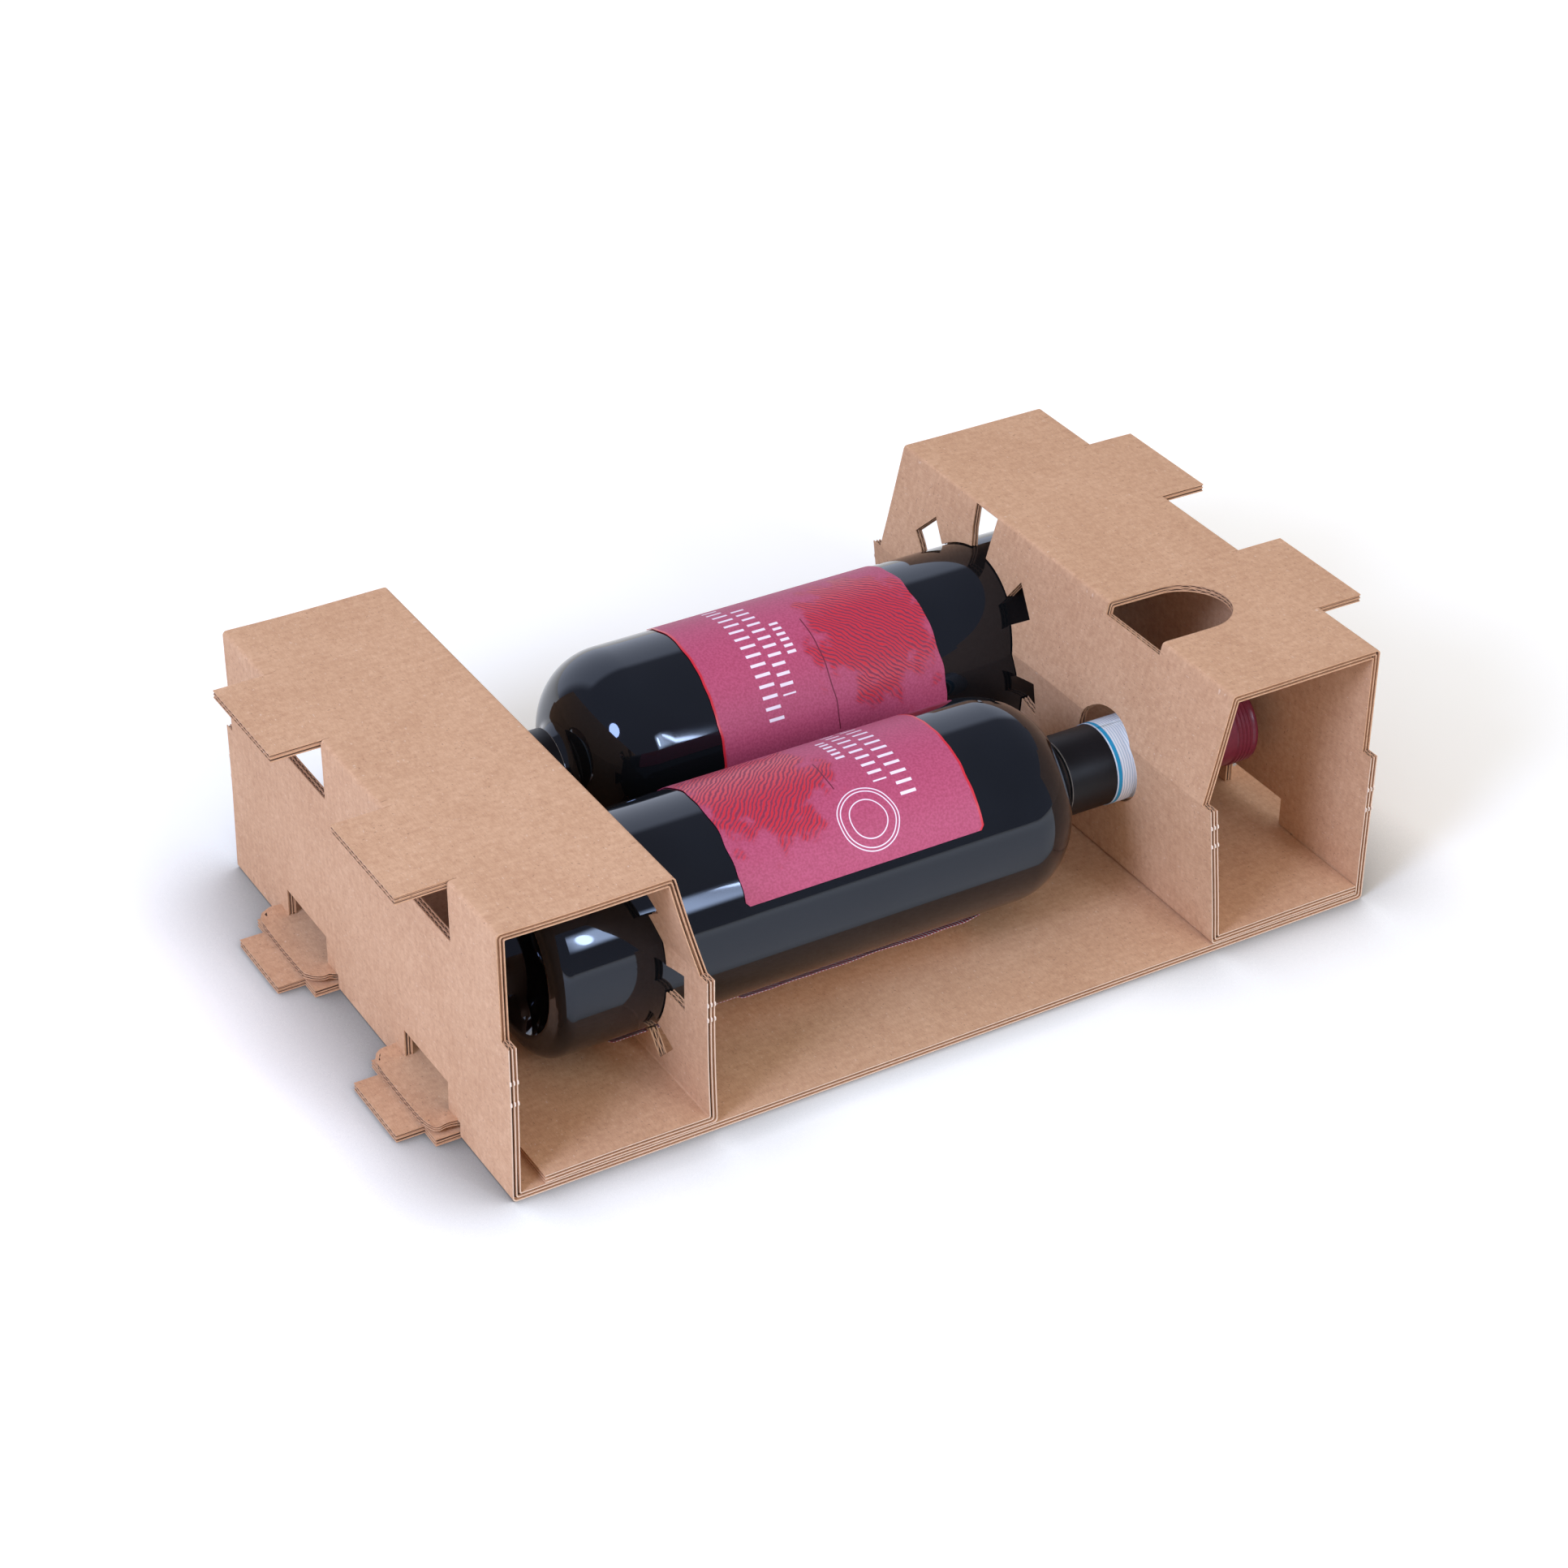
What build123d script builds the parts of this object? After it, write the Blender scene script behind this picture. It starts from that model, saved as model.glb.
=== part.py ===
# Bottle shipping box
#
# One sheet of double-wall corrugated board, die-cut and folded as one piece, holds two sealed
# wine bottles side by side, neck to base. Each end of the sheet is folded into an open-ended
# tube. A bottle's body is gripped by the teeth of a round hole in the inner wall of one tube,
# and its neck goes through a round hole in the inner wall of the other.
#
# Frame: X runs along the bottles, Y from the front edge to the back one, Z up. The origin is
# on the floor under the middle of the base. Sizes are in millimetres.

from build123d import *

import os
from math import atan2, cos, degrees, radians, sin, sqrt

os.makedirs("parts", exist_ok=True)

# Glass bottle, straight-sided, 750 ml, measured from its base along its axis
body_radius = 38.0
bottle_length = 302.0  # base to the top of the capsule
heel_radius = 6.0
standing_ring = 6.0  # flat ring between the heel and the hollow under the base
punt_depth = 14.0  # depth of that hollow
shoulder_and_neck = 112.5  # from the end of the straight body to the mouth
shoulder_radius = 26.0
neck_radius = 14.4
neck_fillet = 4.5  # hollow curve between shoulder and neck
shoulder_cones = 5  # the round stretches are turned as short cones, which keeps the surfaces light
heel_cones = 2

# Capsule, neck band and labels
film_gap = 0.15  # air under a wrapped skin
capsule_wall = 0.6
mouth_ring_length = 9.0  # the capsule widens over the ring at the mouth
mouth_ring_step = 0.7
band_from_neck = 19.5  # from the start of the straight neck
band_width = 18.0
paper = 0.25
main_label_length = 96.0
main_label_to_shoulder = 21.7
main_label_sweep = 132.0  # degrees round the bottle
rear_label_start = 26.0
rear_label_to_shoulder = 11.5
rear_label_sweep = 75.0
label_gap_angle = 80.0  # from the lower edge of the main label down to the rear label
near_label_angle = 156.0  # upper edge of the near bottle's main label, 90 is straight up
far_label_angle = 126.0

# Corrugated sheet and its folds
board = 3.0
fold_radius = 0.5  # inside of a fold
outer_fold_radius = 1.5  # the crease is pressed thin, so the outside of a fold is tight too
layer_gap = 0.3  # air between two layers of board that lie on each other
liner = 0.4  # each of the three flat papers, with a fluted paper between each two
flute_recess = 1.0  # how far the fluted papers lie back at the long edges
crushed_width = 1.5  # past each fold, where the crease has pressed the papers together
kerf = 0.3  # all round a tab, in the window that it was cut from

# How the bottles lie in the box
bottle_gap = 20.4
floor_clearance = 7.0
head_clearance = 15.0
side_clearance = 25.8
base_clearance = 29.5
mouth_clearance = 12.5

# Panels
tube_top_width = 64.5
crease_rise = 14.0  # crease of the inner walls, above the bottle axis
jog = 5.0  # the board is this much wider, at each edge, below the crease
nub_rises = (45.0,)  # torn die nicks on the edges of the walls
nub_height = 1.4
nub_reach = 0.7
flap_length = 65.0
left_flap_gap = 9.0  # the left flap isn't pushed home
right_flap_gap = 0.3
left_bulge = 6.3  # how far the crease stands out of the straight wall
right_bulge = 8.0

# Holes in the inner walls
grip_gap = 0.1  # from the teeth to the label under them
notch_depth = 10.5
notch_inner_width = 11.0
notch_outer_width = 14.5
top_notch_margin = 2.0  # board left over the top notch, which reaches almost to the fold
neck_hole_clearance = 3.0
neck_hole_rise = 2.7  # the neck lies near the bottom of its hole
arch_width = 33.0
arch_margin = 25.0  # from the outer wall to the round end of the arch
arch_drop = 5.3  # how far the arch goes down the inner wall

# Tabs, windows and tongues
tab_width = 48.0
tab_reach = 18.5
tab_window_height = 24.0
step_width = 50.0  # wide part of a low tab
step_reach = 9.0
step_window_height = 6.7
low_tab_width = 33.0
low_tab_reach = 19.5
low_window_height = 18.0
tongue_width = 48.0
tongue_length = 22.0
tongue_corner = 6.0

# Sizes that follow
half_pitch = body_radius + bottle_gap / 2
axis_height = board + floor_clearance + body_radius
box_height = axis_height + body_radius + head_clearance + board
half_depth = half_pitch + body_radius + side_clearance
half_length = (bottle_length + base_clearance + mouth_clearance) / 2 + board
wall_inside = half_length - board
crease_height = axis_height + crease_rise
punt_radius = body_radius - heel_radius - standing_ring
flap_level = board + layer_gap
shoulder_start = bottle_length - shoulder_and_neck
rear_label_length = shoulder_start - rear_label_to_shoulder - rear_label_start
main_label_start = shoulder_start - main_label_to_shoulder - main_label_length
capsule_radius = neck_radius + film_gap + capsule_wall
band_radius = capsule_radius + film_gap + paper
hole_radius = body_radius + film_gap + paper + grip_gap
neck_hole_radius = band_radius + neck_hole_clearance
cut_margin = 1.0  # a cutting tool runs this far past the board


def inner_wall_path(side, flap_gap, bulge):
    """Middle line of a flap and its creased inner wall, from the flap's free edge to the top."""
    low = flap_level + board / 2
    high = box_height - board / 2
    free_edge = wall_inside - flap_gap
    foot = free_edge - flap_length + board / 2
    top = half_length - tube_top_width + board / 2
    share = (crease_height - low) / (high - low)
    crease = foot + (top - foot) * share - bulge
    points = ((free_edge, low), (foot, low), (crease, crease_height), (top, high))
    return [(side * x, z) for x, z in points]


left_path = inner_wall_path(-1, left_flap_gap, left_bulge)
right_path = inner_wall_path(1, right_flap_gap, right_bulge)
outer_line = half_length - board / 2
base_path = [
    (-outer_line, box_height - board / 2),
    (-outer_line, board / 2),
    (outer_line, board / 2),
    (outer_line, box_height - board / 2),
]
sheet_path = left_path + base_path + right_path[::-1]


def side_outline(inset, rises):
    """View of the sheet along X: wider below the crease, with nubs at some heights."""
    edge_y = half_depth - inset
    edge = [(edge_y, 0)]
    for rise in rises:
        edge += [(edge_y, rise - nub_height / 2), (edge_y + nub_reach, rise)]
        edge.append((edge_y, rise + nub_height / 2))
    step_height = crease_height - inset
    edge += [(edge_y, step_height), (edge_y - jog, step_height), (edge_y - jog, box_height)]
    return edge + [(-y, z) for y, z in reversed(edge)]


def beside(path, distance):
    """Corners of the line that runs beside a path, at a distance to its left."""
    points = [Vector(*point) for point in path]
    lines = []
    for start, end in zip(points, points[1:]):
        ahead = (end - start).normalized()
        lines.append((start + Vector(-ahead.Y, ahead.X) * distance, ahead))
    corners = [lines[0][0]]
    for (start, ahead), (next_start, next_ahead) in zip(lines, lines[1:]):
        share = (next_start - start).cross(next_ahead).Z / ahead.cross(next_ahead).Z
        corners.append(start + ahead * share)
    start, ahead = lines[-1]
    corners.append(start + ahead * (points[-1] - points[-2]).length)
    return corners


def wall_span(path):
    """Lowest and highest X of an inner wall, through its full thickness."""
    middles = [x for x, z in path[1:]]
    return min(middles) - board / 2, max(middles) + board / 2


# Space of the two fluted papers along each panel's long edges, where they lie back
flute_height = (board - 3 * liner) / 2
with BuildPart() as edge_recess:
    with BuildSketch(Plane.XZ):
        for start, end in zip(sheet_path, sheet_path[1:]):
            along_panel = (Vector(*end) - Vector(*start)).normalized()
            across = Vector(-along_panel.Y, along_panel.X)
            fold_end = along_panel * (fold_radius + board / 2 + crushed_width)
            for inwards in ((liner + flute_height) / 2, -(liner + flute_height) / 2):
                shift = across * inwards
                with BuildLine():
                    Line(Vector(*start) + fold_end + shift, Vector(*end) - fold_end + shift)
                trace(line_width=flute_height)
    extrude(amount=half_depth + cut_margin, both=True)
    with BuildSketch(Plane.YZ):
        with BuildLine():
            Polyline(side_outline(flute_recess, ()), close=True)
        make_face()
    extrude(amount=half_length, both=True, mode=Mode.SUBTRACT)

with BuildPart() as folded_insert:
    # The folded strip, then the outline of its edges
    with BuildSketch(Plane.XZ):
        with BuildLine():
            outside = FilletPolyline(beside(sheet_path, -board / 2), radius=outer_fold_radius)
            inside = FilletPolyline(beside(sheet_path, board / 2), radius=fold_radius)
            Line(outside @ 0, inside @ 0)
            Line(outside @ 1, inside @ 1)
        make_face()
    extrude(amount=half_depth + nub_reach, both=True)
    with BuildSketch(Plane.YZ):
        with BuildLine():
            Polyline(side_outline(0, nub_rises), close=True)
        make_face()
    extrude(amount=half_length, both=True, mode=Mode.INTERSECT)
    add(edge_recess.part, mode=Mode.SUBTRACT)

    # Toothed hole for a bottle's body and round hole for the other bottle's neck
    for path, side in ((left_path, -1), (right_path, 1)):
        wall_low, wall_high = wall_span(path)
        hole_place = (side * half_pitch, axis_height)
        with BuildSketch(Plane.YZ.offset(wall_low)):
            with Locations(hole_place):
                Circle(hole_radius)
            for angle in (-45, 0, 45, 90, 135, 180, 225):
                reach = notch_depth
                if angle == 90:
                    reach = box_height - top_notch_margin - axis_height - body_radius
                notch = [
                    (body_radius - notch_depth, -notch_inner_width / 2),
                    (hole_radius, -notch_inner_width / 2),
                    (body_radius + reach, -notch_outer_width / 2),
                    (body_radius + reach, notch_outer_width / 2),
                    (hole_radius, notch_inner_width / 2),
                    (body_radius - notch_depth, notch_inner_width / 2),
                ]
                with Locations(Location(hole_place, angle)):
                    Polygon(*notch, align=None)
        extrude(amount=wall_high - wall_low, mode=Mode.SUBTRACT)
        with BuildSketch(Plane.YZ.offset(wall_low)):
            with Locations((-side * half_pitch, axis_height + neck_hole_rise)):
                Circle(neck_hole_radius)
        extrude(amount=wall_high - wall_low, mode=Mode.SUBTRACT)

    # Arch through the right top and the upper edge of its inner wall, over the near neck
    arch_end = half_length - arch_margin - arch_width / 2
    arch_start = half_length - tube_top_width - right_bulge - board
    with BuildSketch(Plane.XY.offset(box_height - arch_drop)):
        with Locations(((arch_start + arch_end) / 2, -half_pitch)):
            Rectangle(arch_end - arch_start, arch_width)
        with Locations((arch_end, -half_pitch)):
            Circle(arch_width / 2)
    extrude(amount=arch_drop + cut_margin, mode=Mode.SUBTRACT)

    for side, flap_gap in ((-1, left_flap_gap), (1, right_flap_gap)):
        window_start = wall_inside if side > 0 else -half_length - cut_margin
        for y in (-half_pitch, half_pitch):
            # High and low windows in the outer wall
            with BuildSketch(Plane.YZ.offset(window_start)):
                with Locations((y, box_height - tab_window_height / 2 + cut_margin / 2)):
                    Rectangle(tab_width + 2 * kerf, tab_window_height + cut_margin)
                with Locations((y, (step_window_height - cut_margin) / 2)):
                    Rectangle(step_width + 2 * kerf, step_window_height + cut_margin)
                with Locations((y, low_window_height / 2)):
                    Rectangle(low_tab_width + 2 * kerf, low_window_height)
            extrude(amount=board + cut_margin, mode=Mode.SUBTRACT)

            # Tab that carries on the top, cut out of the high window
            root = wall_inside - board
            with BuildSketch(Plane.XY.offset(box_height - board)):
                with Locations((side * (root + half_length + tab_reach) / 2, y)):
                    Rectangle(half_length + tab_reach - root, tab_width)
            extrude(amount=board)

            # Stepped tab that carries on the base, cut out of the low window
            with BuildSketch(Plane.XY):
                with Locations((side * (root + half_length + step_reach) / 2, y)):
                    Rectangle(half_length + step_reach - root, step_width)
                with Locations((side * (root + half_length + low_tab_reach) / 2, y)):
                    Rectangle(half_length + low_tab_reach - root, low_tab_width)
            extrude(amount=board)

            # Tongue of the flap, out through the low window and over the stepped tab
            free_edge = wall_inside - flap_gap
            tongue_root = free_edge - board
            tongue_end = free_edge + tongue_length
            with BuildSketch(Plane.XY.offset(flap_level)) as tongue:
                with Locations((side * (tongue_root + tongue_end) / 2, y)):
                    Rectangle(tongue_end - tongue_root, tongue_width)
                outer_corners = tongue.vertices().sort_by(Axis.X, reverse=side > 0)[:2]
                fillet(outer_corners, radius=tongue_corner)
            extrude(amount=board)

folded_insert.part.label = "folded_insert"
export_step(folded_insert.part, "parts/folded_insert.step")


def radial_plane(base, along, angle):
    """Plane through a bottle's axis: local X along the bottle, local Y outwards at the angle."""
    outwards = Vector(0, -cos(radians(angle)), sin(radians(angle)))
    return Plane(origin=base, x_dir=(along, 0, 0), z_dir=Vector(along, 0, 0).cross(outwards))


def wrapped_paper(base, along, start, length, radius, top_angle, sweep):
    """Sheet of paper round a bottle: from the top angle down towards the front by the sweep."""
    with BuildPart() as paper_part:
        with BuildSketch(radial_plane(base, along, top_angle)):
            with Locations((start + length / 2, radius + film_gap + paper / 2)):
                Rectangle(length, paper)
        revolve(axis=Axis(base, (1, 0, 0)), revolution_arc=sweep)
    return paper_part.part


def arc_points(centre, radius, start_angle, end_angle, count):
    """Points on an arc, without the first, for a count of equal steps."""
    step = (end_angle - start_angle) / count
    angles = [radians(start_angle + step * i) for i in range(1, count + 1)]
    return [(centre[0] + radius * cos(a), centre[1] + radius * sin(a)) for a in angles]


# Half profile of a bottle, from the middle of the punt out and along to the mouth
rise = neck_radius + neck_fillet - (body_radius - shoulder_radius)
neck_start = shoulder_start + sqrt((shoulder_radius + neck_fillet) ** 2 - rise**2)
meet = degrees(atan2(rise, neck_start - shoulder_start))
glass_end = bottle_length - capsule_wall - film_gap
bottle_profile = [
    (punt_depth, 0),
    (0, punt_radius),
    (0, body_radius - heel_radius),
    *arc_points((heel_radius, body_radius - heel_radius), heel_radius, 180, 90, heel_cones),
    (shoulder_start, body_radius),
    *arc_points((shoulder_start, body_radius - shoulder_radius), shoulder_radius, 90, meet, shoulder_cones),
    *arc_points((neck_start, neck_radius + neck_fillet), neck_fillet, 180 + meet, 270, 1),
    (glass_end, neck_radius),
    (glass_end, 0),
]

# Half profile of a capsule, which widens over the ring at the mouth
bore = neck_radius + film_gap
ring_start = bottle_length - mouth_ring_length
capsule_profile = [
    (neck_start + film_gap, bore),
    (bottle_length - capsule_wall, bore),
    (bottle_length - capsule_wall, 0),
    (bottle_length, 0),
    (bottle_length, capsule_radius + mouth_ring_step),
    (ring_start + mouth_ring_step, capsule_radius + mouth_ring_step),
    (ring_start, capsule_radius),
    (neck_start + film_gap, capsule_radius),
]


def turned(base, along, profile):
    """Solid turned round a bottle's axis."""
    with BuildPart() as turned_part:
        with BuildSketch(radial_plane(base, along, 90)):
            with BuildLine():
                Polyline(profile, close=True)
            make_face()
        revolve(axis=Axis(base, (1, 0, 0)))
    return turned_part.part


bottle_shift = (base_clearance - mouth_clearance) / 2
for name, along, label_angle in (("near", 1, near_label_angle), ("far", -1, far_label_angle)):
    base = Vector(along * (bottle_shift - bottle_length / 2), -along * half_pitch, axis_height)
    rear_angle = label_angle - main_label_sweep - label_gap_angle

    # Sealed bottle with its wine and cork
    with BuildPart() as bottle:
        add(turned(base, along, bottle_profile))
    bottle.part.label = f"{name}_bottle"
    export_step(bottle.part, f"parts/{name}_bottle.step")

    # Capsule drawn down over the mouth and the neck
    with BuildPart() as capsule:
        add(turned(base, along, capsule_profile))
    capsule.part.label = f"{name}_capsule"
    export_step(capsule.part, f"parts/{name}_capsule.step")

    # Paper band round the capsule
    band_start = neck_start + band_from_neck
    with BuildPart() as neck_band:
        add(wrapped_paper(base, along, band_start, band_width, capsule_radius, 90, 360))
    neck_band.part.label = f"{name}_neck_band"
    export_step(neck_band.part, f"parts/{name}_neck_band.step")

    # Two paper labels round the body
    for label, start, length, top_angle, sweep in (
        ("main_label", main_label_start, main_label_length, label_angle, main_label_sweep),
        ("rear_label", rear_label_start, rear_label_length, rear_angle, rear_label_sweep),
    ):
        with BuildPart() as body_label:
            add(wrapped_paper(base, along, start, length, body_radius, top_angle, sweep))
        body_label.part.label = f"{name}_{label}"
        export_step(body_label.part, f"parts/{name}_{label}.step")
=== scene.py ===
# %% [markdown]
# # A folded shipping box for two bottles
# The box is one sheet of double-wall corrugated board, cut by dies and folded into a base with
# an open tube at each end. Two sealed wine bottles lie in it, held by holes in the tubes' inner
# walls. This lesson dresses the CAD model of it for the camera. It starts with the frame, which
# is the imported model: every new piece goes exactly where its CAD node is.

# %% The frame
from bisect import bisect_right
from math import asin, atan2, cos, degrees, pi, radians, sin, sqrt, tan

import bpy
from mathutils import Matrix, Vector, noise


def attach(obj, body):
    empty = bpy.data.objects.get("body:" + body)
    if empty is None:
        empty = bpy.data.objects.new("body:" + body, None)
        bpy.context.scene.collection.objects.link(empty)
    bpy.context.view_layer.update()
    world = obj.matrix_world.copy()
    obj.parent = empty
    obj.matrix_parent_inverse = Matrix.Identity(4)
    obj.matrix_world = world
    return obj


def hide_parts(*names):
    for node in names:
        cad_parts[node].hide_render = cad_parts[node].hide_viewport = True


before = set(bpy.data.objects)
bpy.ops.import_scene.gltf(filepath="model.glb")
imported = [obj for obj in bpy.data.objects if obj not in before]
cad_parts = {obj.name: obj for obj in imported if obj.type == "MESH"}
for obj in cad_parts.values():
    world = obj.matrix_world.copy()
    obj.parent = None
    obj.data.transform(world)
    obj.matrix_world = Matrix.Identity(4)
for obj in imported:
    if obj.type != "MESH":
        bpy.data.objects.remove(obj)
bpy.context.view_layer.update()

mm = 0.001
print("CAD nodes:", sorted(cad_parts))

# %% [markdown]
# ## Working clean
# An operator acts on all that is selected, and loading the frame leaves its nodes selected. A
# few small helpers keep that in hand: one leaves a single object selected and active, and one
# adds a modifier and applies it, so that a finished piece is plain mesh.


# %% Helpers for modelling
def pick(piece):
    """Leave only this object selected and active, in object mode."""
    if bpy.context.object and bpy.context.object.mode != "OBJECT":
        bpy.ops.object.mode_set(mode="OBJECT")
    bpy.ops.object.select_all(action="DESELECT")
    if piece:
        piece.select_set(True)
        bpy.context.view_layer.objects.active = piece


def finish_with(piece, kind, **settings):
    """Add a modifier of this kind and apply it."""
    pick(piece)
    modifier = piece.modifiers.new(kind.title(), kind)
    for name, value in settings.items():
        setattr(modifier, name, value)
    bpy.ops.object.modifier_apply(modifier=modifier.name)


def copy_of(piece, name):
    """A copy with its own mesh."""
    twin = piece.copy()
    twin.data = piece.data.copy()
    twin.name = twin.data.name = name
    bpy.context.scene.collection.objects.link(twin)
    return twin


def joined(pieces):
    """Join these objects into the first."""
    pick(None)
    for piece in pieces:
        piece.select_set(True)
    bpy.context.view_layer.objects.active = pieces[0]
    bpy.ops.object.join()
    return pieces[0]


def grid_sheet(name, stops_x, stops_y):
    """A flat grid, its rows and columns moved to these stops in millimetres."""
    pick(None)
    bpy.ops.mesh.primitive_grid_add(
        x_subdivisions=len(stops_x) - 1, y_subdivisions=len(stops_y) - 1, size=2
    )
    sheet = bpy.context.object
    sheet.name = sheet.data.name = name
    for vertex in sheet.data.vertices:
        column = round((vertex.co.x + 1) / 2 * (len(stops_x) - 1))
        row = round((vertex.co.y + 1) / 2 * (len(stops_y) - 1))
        vertex.co = (stops_x[column] * mm, stops_y[row] * mm, 0)
    return sheet


def even_stops(start, end, longest):
    """Stops from start to end in equal steps no longer than this."""
    count = max(1, round(abs(end - start) / longest + 0.5))
    return [start + (end - start) * i / count for i in range(count + 1)]


# %% [markdown]
# ## The line that the sheet follows
# Seen from the front, the sheet is a line of straight runs joined by tight folds. The corner
# points are those of the CAD model. A fold is an arc of 2 mm radius at the middle of the board,
# and every fold turns to the left, so the left of the line is the inside of the box. Knowing the
# line as a function of the length along the flat sheet means that everything can be cut flat,
# as a die cutter does it, and folded afterwards.

# %% The folded line
board = 3.0
liner = 0.4
fold_radius = 2.0
half_depth = 112.0  # half the sheet's width, which becomes the depth of the box
jog = 5.0  # how far back the long edges of its narrower stretches lie
crease_height = 62.0
base_z, flap_z, top_z = 1.5, 4.8, 102.5
wall_x = 173.5
pitch_y, axis_z = 48.2, 48.0  # the bottles' axes, from the middle of the box and from the floor
corners = [
    (-163, flap_z),
    (-99.5, flap_z),
    (-100.52, crease_height),
    (-112, top_z),
    (-wall_x, top_z),
    (-wall_x, base_z),
    (wall_x, base_z),
    (wall_x, top_z),
    (112, top_z),
    (102.42, crease_height),
    (108.2, flap_z),
    (171.7, flap_z),
]

runs = []  # start length, end length, start point, direction, turn
length = 0.0
here = Vector(corners[0])
for before, corner, after in zip(corners, corners[1:], corners[2:]):
    corner = Vector(corner)
    heading = (corner - Vector(before)).normalized()
    leaving = (Vector(after) - corner).normalized()
    turn = atan2(heading.x * leaving.y - heading.y * leaving.x, heading.dot(leaving))
    setback = fold_radius * tan(turn / 2)
    straight = (corner - here).length - setback
    runs.append((length, length + straight, here, heading, 0))
    length += straight
    runs.append((length, length + fold_radius * turn, here + heading * straight, heading, turn))
    length += fold_radius * turn
    here = corner + leaving * setback
heading = (Vector(corners[-1]) - here).normalized()
runs.append((length, length + (Vector(corners[-1]) - here).length, here, heading, 0))
sheet_length = runs[-1][1]
run_starts = [run[0] for run in runs]
print(f"flat sheet {sheet_length:.1f} mm long, {len(runs) // 2} folds")


def run_at(flat):
    """Which run of the folded line this length is on."""
    return max(0, bisect_right(run_starts, flat) - 1)


straight_share = 0.12  # at each end of a fold, this share of its length stays straight


def on_line(flat, depth=0.0):
    """X and Z of a point at this length along the sheet and this depth towards the inside."""
    start, end, point, heading, turn = runs[run_at(flat)]
    left = Vector((-heading.y, heading.x))
    if not turn:
        return point + heading * (flat - start) + left * depth
    # A crease is pressed thin, so the outside of a fold is tight too: 1.5 mm, and 0.5 inside
    tight = 1.0 - depth / board
    lead = (fold_radius - depth - tight) * tan(turn / 2)
    share = (flat - start) / (end - start)
    place = point + left * depth
    if share < straight_share:
        return place + heading * lead * share / straight_share
    swing = turn * min(1.0, (share - straight_share) / (1 - 2 * straight_share))
    arm = left * -tight
    arm.rotate(Matrix.Rotation(swing, 2))
    place += heading * lead + left * tight + arm
    if share > 1 - straight_share:
        leaving = heading.copy()
        leaving.rotate(Matrix.Rotation(turn, 2))
        place += leaving * lead * (share - (1 - straight_share)) / straight_share
    return place


# %% [markdown]
# ## The dies
# The sheet is cut flat. Each die is a prism with the outline of what falls out: the strips
# outside the edges, the toothed holes, the round holes, the arch, and the narrow slits round
# the tabs. A primitive circle gives the right number of points, they are moved to the outline,
# and the face is extruded. All the dies become one tool, for one boolean cut per paper layer.


# %% Outlines of what is cut away
# Runs of the folded line, from the left flap on: even ones are panels, odd ones the folds
LEFT_FLAP, LEFT_CREASE, LEFT_TOP, LEFT_OUTER, BASE = 0, 3, 6, 8, 10
RIGHT_OUTER, RIGHT_TOP, RIGHT_CREASE, RIGHT_FLAP = 12, 14, 17, 20
LEFT_WALL, RIGHT_WALL = (1, 5), (15, 19)  # first and last run of each inner wall

hole_radius = 38.5
tongue_half, tongue_end, rounding = 24.0, 22.0, 6.0  # half width, length, round corners
past_end, past_edge = 30.0, 120.0  # the dies reach past the sheet's ends and long edges
torn_nub = ((-0.9, 0.0), (-0.7, 0.6), (0.5, 0.7), (0.8, 0.0))


def wall_length(wall, height):
    """Length along the sheet at which this inner wall is at this height."""
    low, high = runs[wall[0]][0], runs[wall[1]][1]
    rising = on_line(high).y > on_line(low).y
    for _ in range(40):
        middle = (low + high) / 2
        if (on_line(middle).y < height) == rising:
            low = middle
        else:
            high = middle
    return (low + high) / 2


def outer_wall_length(side, height):
    """Length along the sheet at which the left (-1) or right (1) outer wall is at this height."""
    if side < 0:
        return runs[LEFT_OUTER][0] + (top_z - fold_radius) - height
    return runs[RIGHT_OUTER][0] + height - (base_z + fold_radius)


def toothed_hole(wall, y):
    """Round hole with notches all round except at the bottom, which leaves the teeth."""
    reach, top_reach, half_in, half_out = 48.5, 54.0, 5.5, 7.25
    inner = sqrt(hole_radius**2 - half_in**2)
    painted_flute_shade = degrees(asin(half_in / hole_radius))
    outline = []
    for spoke in range(-45, 226, 45):
        end = top_reach if spoke == 90 else reach
        for out, side in ((inner, -half_in), (end, -half_out), (end, half_out), (inner, half_in)):
            corner = Vector((out, side))
            corner.rotate(Matrix.Rotation(radians(spoke), 2))
            outline.append(corner)
        stop = spoke + 45 if spoke < 225 else 315
        for angle in even_stops(spoke + painted_flute_shade, stop - painted_flute_shade, 4)[1:-1]:
            outline.append(Vector((cos(radians(angle)), sin(radians(angle)))) * hole_radius)
    return [(wall_length(wall, axis_z + p.y), y + p.x) for p in outline]


def round_hole(wall, y):
    """Round hole for a neck, with air all round it."""
    angles = [radians(7.5 * i) for i in range(48)]
    radius, centre = 18.55, axis_z + 2.7
    return [(wall_length(wall, centre + radius * sin(a)), y + radius * cos(a)) for a in angles]


def thumb_arch(y):
    """Arch from just over the fold of the right inner wall into the right top."""
    half, centre_x, mouth_z = 16.5, 133.5, 98.7
    centre = runs[RIGHT_TOP][0] + (wall_x - fold_radius) - centre_x
    mouth = wall_length(RIGHT_WALL, mouth_z)
    ring = [radians(-90 - 7.5 * i) for i in range(25)]
    outline = [(mouth, y + half), (mouth, y - half)]
    return outline + [(centre + half * cos(a), y + half * sin(a)) for a in ring]


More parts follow.
